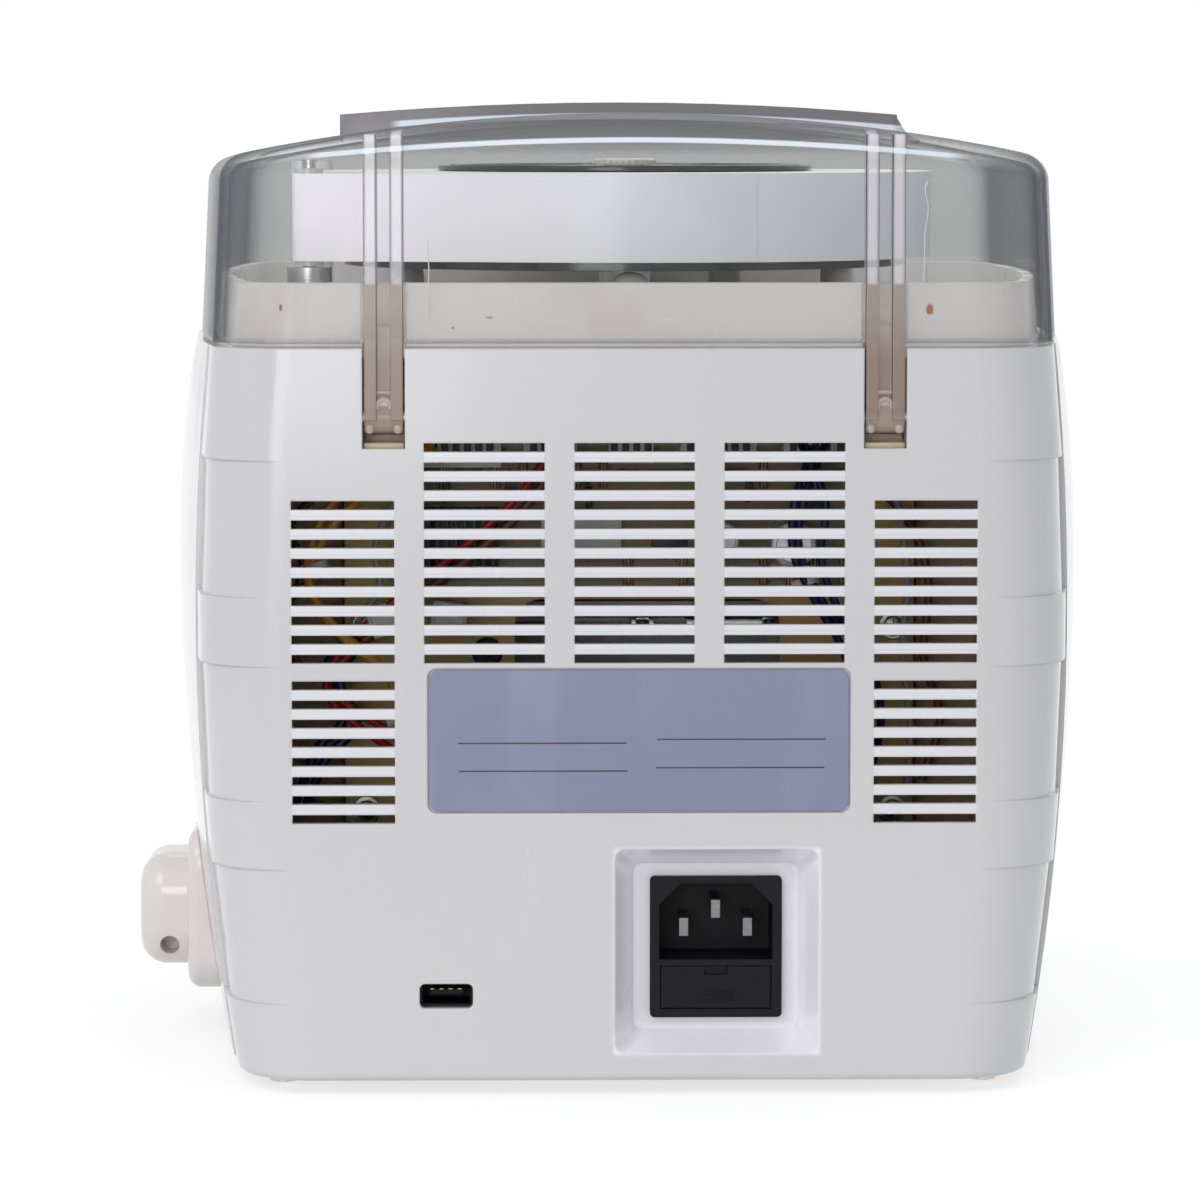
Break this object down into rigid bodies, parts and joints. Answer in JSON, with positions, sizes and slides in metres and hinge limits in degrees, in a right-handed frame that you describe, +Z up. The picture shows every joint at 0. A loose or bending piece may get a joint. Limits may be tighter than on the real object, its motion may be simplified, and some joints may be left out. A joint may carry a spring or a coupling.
{
  "type": "banknote strapping machine",
  "caption": "Desktop machine that straps a bundle of notes with paper tape: bowed vented case, clear hinged cover over a flat tape reel, front throat with sealing head.",
  "frame": {"origin": "under the middle of the machine's outline, on the surface its feet stand on", "axes": "+Z up; +Y towards the rear wall with the power inlet; -Y the operator's side with the throat; +X the side with the small housing"},
  "size_m": [0.2176, 0.2501, 0.2166],
  "materials": {
    "case_plastic": "glossy cool white moulded shell",
    "deck_plastic": "white moulded tray, worn by the reel",
    "clear_plastic": "clear moulded hood, faintly grey",
    "label_foil": "blank pale lavender-blue foil plate",
    "black_plastic": "black moulding",
    "dark_plastic": "dark grey moulding",
    "key_red": "red key cap",
    "key_green": "green key cap",
    "key_grey": "grey key cap",
    "display_lens": "dark tinted lens",
    "paper_tape": "white paper tape wound on edge",
    "core_board": "grey-brown board core",
    "reel_plastic": "smoke-dark reel plate and cap",
    "knob_plastic": "pale knob",
    "clear_guide": "polished pale acetal",
    "stainless": "brushed stainless sheet",
    "zinc_sheet": "yellow-passivated zinc plated sheet",
    "steel": "bright machined steel",
    "plated": "nickel plated",
    "cast_alloy": "machined aluminium",
    "motor_steel": "dark coated can",
    "core_steel": "varnished laminations and coil",
    "board": "green circuit board",
    "connectors": "off-white plugs and cans",
    "rubber": "black rubber",
    "roller_rubber": "red-brown roller rubber",
    "lead_yellow": "orange-yellow insulation",
    "lead_blue": "navy insulation",
    "lead_red": "red insulation"
  },
  "bodies": {
    "machine": {"base_plate": "zinc_sheet", "blue_lead": "lead_blue", "board_parts": "connectors", "case_screws": "plated", "chassis_left": "zinc_sheet", "chassis_rear": "zinc_sheet", "chassis_right": "zinc_sheet", "control_board": "board", "control_panel": "dark_plastic", "display_window": "display_lens", "drive_motor": "motor_steel", "feed_bracket": "zinc_sheet", "feed_motor": "motor_steel", "front_cover": "case_plastic", "guide_post": "steel", "head_block": "cast_alloy", "head_frame": "zinc_sheet", "hinge_pins": "steel", "inlet_pins": "plated", "panel_board": "board", "power_inlet": "black_plastic", "rating_plate": "label_foil", "rear_cover": "case_plastic", "red_lead": "lead_red", "reel_bridge": "zinc_sheet", "reel_spindle": "steel", "rubber_feet": "rubber", "service_port": "black_plastic", "side_housing": "case_plastic", "switch_frame": "black_plastic", "tape_arch": "stainless", "tape_chute": "clear_guide", "tape_lead": "paper_tape", "throat_frame": "dark_plastic", "throat_liner": "dark_plastic", "top_deck": "deck_plastic", "transformer": "core_steel", "worktable": "stainless", "yellow_lead": "lead_yellow"},
    "cover": {"clear_cover": "clear_plastic"},
    "reel": {"reel_disc": "reel_plastic", "tape_core": "core_board", "tape_roll": "paper_tape", "reel_cap": "reel_plastic", "reel_knob": "knob_plastic"},
    "guide_roller": {"guide_roller": "clear_guide"},
    "camshaft": {"camshaft": "steel"},
    "cutter_slide": {"cutter_slide": "steel"},
    "heater_slide": {"heater_slide": "cast_alloy"},
    "press_slide": {"press_slide": "roller_rubber"},
    "feed_roller": {"feed_roller": "roller_rubber"},
    "pinch_roller": {"pinch_roller": "rubber"},
    "power_rocker": {"power_rocker": "black_plastic"},
    "button_feed": {"button_feed": "key_green"},
    "button_band": {"button_band": "key_grey"},
    "button_mode": {"button_mode": "key_grey"},
    "button_stop": {"button_stop": "key_red"},
    "fuse_drawer": {"fuse_drawer": "black_plastic"},
    "side_guide": {"side_guide": "stainless", "guide_screw": "black_plastic"}
  },
  "joints": [
    {"name": "cover_hinge", "type": "hinge", "parent": "machine", "child": "cover", "pos_m": [-0.0042, 0.1203, 0.148], "axis": [-1, 0, 0], "range_deg": [0, 95]},
    {"name": "reel_spin", "type": "hinge", "parent": "machine", "child": "reel", "pos_m": [-0.0042, 0.0195, 0.19], "axis": [0, 0, 1], "continuous": true},
    {"name": "guide_roller_spin", "type": "hinge", "parent": "machine", "child": "guide_roller", "pos_m": [0.0678, 0.075, 0.19], "axis": [0, 0, 1], "continuous": true},
    {"name": "cam_turn", "type": "hinge", "parent": "machine", "child": "camshaft", "pos_m": [0, -0.061, 0.046], "axis": [1, 0, 0], "range_deg": [0, 180]},
    {"name": "cutter_rise", "type": "slide", "parent": "machine", "child": "cutter_slide", "axis": [0, 0, 1], "range_m": [0, 0.004]},
    {"name": "heater_rise", "type": "slide", "parent": "machine", "child": "heater_slide", "axis": [0, 0, 1], "range_m": [0, 0.004]},
    {"name": "press_rise", "type": "slide", "parent": "machine", "child": "press_slide", "axis": [0, 0, 1], "range_m": [0, 0.004]},
    {"name": "feed_spin", "type": "hinge", "parent": "machine", "child": "feed_roller", "pos_m": [0.0438, -0.061, 0.072], "axis": [0, 1, 0], "continuous": true},
    {"name": "pinch_spin", "type": "hinge", "parent": "machine", "child": "pinch_roller", "pos_m": [0.0438, -0.061, 0.05765], "axis": [0, 1, 0], "continuous": true},
    {"name": "rocker_tip", "type": "hinge", "parent": "machine", "child": "power_rocker", "pos_m": [-0.0622, -0.1005, 0.054], "axis": [-1, 0, 0], "range_deg": [0, 16]},
    {"name": "fuse_pull", "type": "slide", "parent": "machine", "child": "fuse_drawer", "axis": [0, 1, 0], "range_m": [0, 0.018]},
    {"name": "guide_slide", "type": "slide", "parent": "machine", "child": "side_guide", "axis": [-1, 0, 0], "range_m": [0, 0.024]},
    {"name": "press_feed", "type": "slide", "parent": "machine", "child": "button_feed", "axis": [0, 0.515, -0.8572], "range_m": [0, 0.0008], "stiffness_N_per_m": 400, "springref_m": -0.0003},
    {"name": "press_band", "type": "slide", "parent": "machine", "child": "button_band", "axis": [0, 0.515, -0.8572], "range_m": [0, 0.0008], "stiffness_N_per_m": 400, "springref_m": -0.0003},
    {"name": "press_mode", "type": "slide", "parent": "machine", "child": "button_mode", "axis": [0, 0.515, -0.8572], "range_m": [0, 0.0008], "stiffness_N_per_m": 400, "springref_m": -0.0003},
    {"name": "press_stop", "type": "slide", "parent": "machine", "child": "button_stop", "axis": [0, 0.515, -0.8572], "range_m": [0, 0.0008], "stiffness_N_per_m": 400, "springref_m": -0.0003}
  ],
  "couplings": [
    {"joint": "cutter_rise", "follows": "cam_turn", "m_per_rad": 0.0012732},
    {"joint": "heater_rise", "follows": "cam_turn", "m_per_rad": 0.0012732},
    {"joint": "press_rise", "follows": "cam_turn", "m_per_rad": 0.0012732},
    {"joint": "pinch_spin", "follows": "feed_spin", "ratio": -1.3333}
  ]
}
